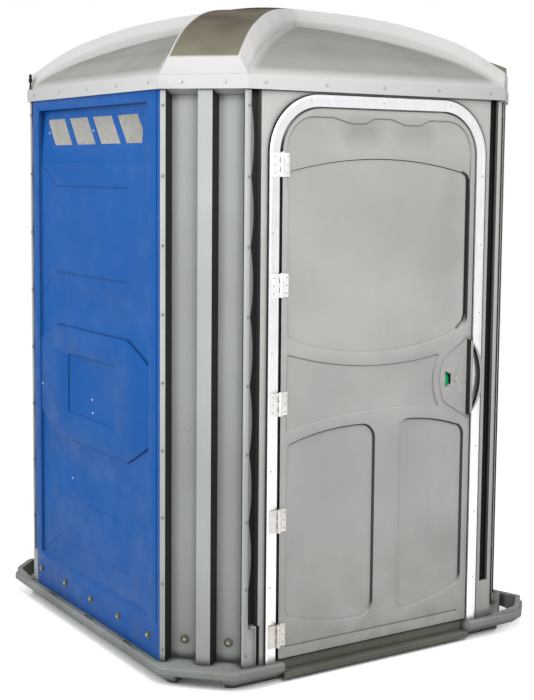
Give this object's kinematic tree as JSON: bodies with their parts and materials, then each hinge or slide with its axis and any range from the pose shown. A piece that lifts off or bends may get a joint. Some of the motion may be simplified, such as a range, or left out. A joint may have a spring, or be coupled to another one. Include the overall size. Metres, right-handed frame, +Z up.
{
  "type": "portable toilet cabin",
  "caption": "Enlarged portable toilet cabin with moulded walls, grooved corner panels, arched roof, framed hinged door with a turn latch, tank seat inside and a tray base with tow loops.",
  "frame": {"origin": "on the ground, under the middle of the tray base", "axes": "+Z up; the door is in the -Y wall with its hinges at -X; the seat is at +X, +Y"},
  "size_m": [1.59, 1.59, 2.394],
  "materials": {
    "base_plastic": "satin",
    "sill_plastic": "satin",
    "grey_plastic": "fine orange peel",
    "blue_plastic": "fine orange peel",
    "vent_mesh": "satin",
    "frame_aluminium": "mill",
    "roof_plastic": "translucent white",
    "fastener_steel": "zinc plated",
    "black_plastic": "satin",
    "door_plastic": "fine grain",
    "indicator_green": "gloss",
    "indicator_red": "gloss",
    "floor_plastic": "ribbed",
    "tank_plastic": "satin",
    "seat_plastic": "satin gloss",
    "pipe_plastic": "satin",
    "rail_steel": "brushed",
    "paper": "soft"
  },
  "bodies": {
    "cabin": {"base_bolts": "fastener_steel", "base_skid": "base_plastic", "base_washers": "fastener_steel", "coat_hook": "fastener_steel", "corner_panel_back_left": "grey_plastic", "corner_panel_back_right": "grey_plastic", "corner_panel_front_left": "grey_plastic", "corner_panel_front_right": "grey_plastic", "door_frame": "frame_aluminium", "flange_screws": "fastener_steel", "floor_deck": "floor_plastic", "frame_rivets": "fastener_steel", "front_panel": "grey_plastic", "grab_rail_back": "rail_steel", "grab_rail_left": "rail_steel", "grab_rail_right": "rail_steel", "hinge_frame_leaves": "fastener_steel", "hinge_frame_rivets": "fastener_steel", "hinge_pins": "fastener_steel", "paper_holder": "black_plastic", "paper_spindle": "black_plastic", "roof_screws": "fastener_steel", "roof_shell": "roof_plastic", "seat_brackets": "tank_plastic", "seat_pins": "fastener_steel", "sill_plate": "sill_plastic", "stack_clips": "fastener_steel", "strike_plate": "fastener_steel", "tie_stud": "black_plastic", "vent_cap": "pipe_plastic", "vent_grilles_back": "vent_mesh", "vent_grilles_left": "vent_mesh", "vent_grilles_right": "vent_mesh", "vent_stack": "pipe_plastic", "wall_panel_back": "blue_plastic", "wall_panel_left": "blue_plastic", "wall_panel_right": "blue_plastic", "waste_tank": "tank_plastic"},
    "door": {"door_skin_outer": "door_plastic", "door_skin_inner": "door_plastic", "pull_handle": "black_plastic", "hinge_door_leaves": "fastener_steel", "hinge_door_rivets": "fastener_steel", "latch_case": "black_plastic"},
    "latch": {"latch_spindle": "fastener_steel", "latch_knob": "black_plastic", "occupancy_sector_free": "indicator_green", "occupancy_sector_engaged": "indicator_red"},
    "bolt": {"latch_bolt": "fastener_steel"},
    "seat": {"seat_ring": "seat_plastic"},
    "lid": {"seat_lid": "seat_plastic"},
    "front_roll": {"paper_roll_front": "paper"},
    "rear_roll": {"paper_roll_rear": "paper"}
  },
  "joints": [
    {"name": "door_swing", "type": "hinge", "parent": "cabin", "child": "door", "pos_m": [-0.424, -0.7795, 1], "axis": [0, 0, 1], "range_deg": [-120, 0]},
    {"name": "latch_turn", "type": "hinge", "parent": "door", "child": "latch", "pos_m": [0.355, -0.75, 1.004], "axis": [0, -1, 0], "range_deg": [0, 90]},
    {"name": "bolt_slide", "type": "slide", "parent": "door", "child": "bolt", "axis": [1, 0, 0], "range_m": [0, 0.0198]},
    {"name": "seat_lift", "type": "hinge", "parent": "cabin", "child": "seat", "pos_m": [0.33, 0.626, 0.451], "axis": [-1, 0, 0], "range_deg": [0, 90]},
    {"name": "lid_lift", "type": "hinge", "parent": "cabin", "child": "lid", "pos_m": [0.33, 0.626, 0.451], "axis": [-1, 0, 0], "range_deg": [-100, 0]},
    {"name": "front_roll_spin", "type": "hinge", "parent": "cabin", "child": "front_roll", "pos_m": [0.669, -0.09, 0.68], "axis": [0, 1, 0], "continuous": true},
    {"name": "rear_roll_spin", "type": "hinge", "parent": "cabin", "child": "rear_roll", "pos_m": [0.669, 0.01, 0.68], "axis": [0, 1, 0], "continuous": true}
  ],
  "couplings": [
    {"joint": "bolt_slide", "follows": "latch_turn", "m_per_rad": 0.012604}
  ]
}
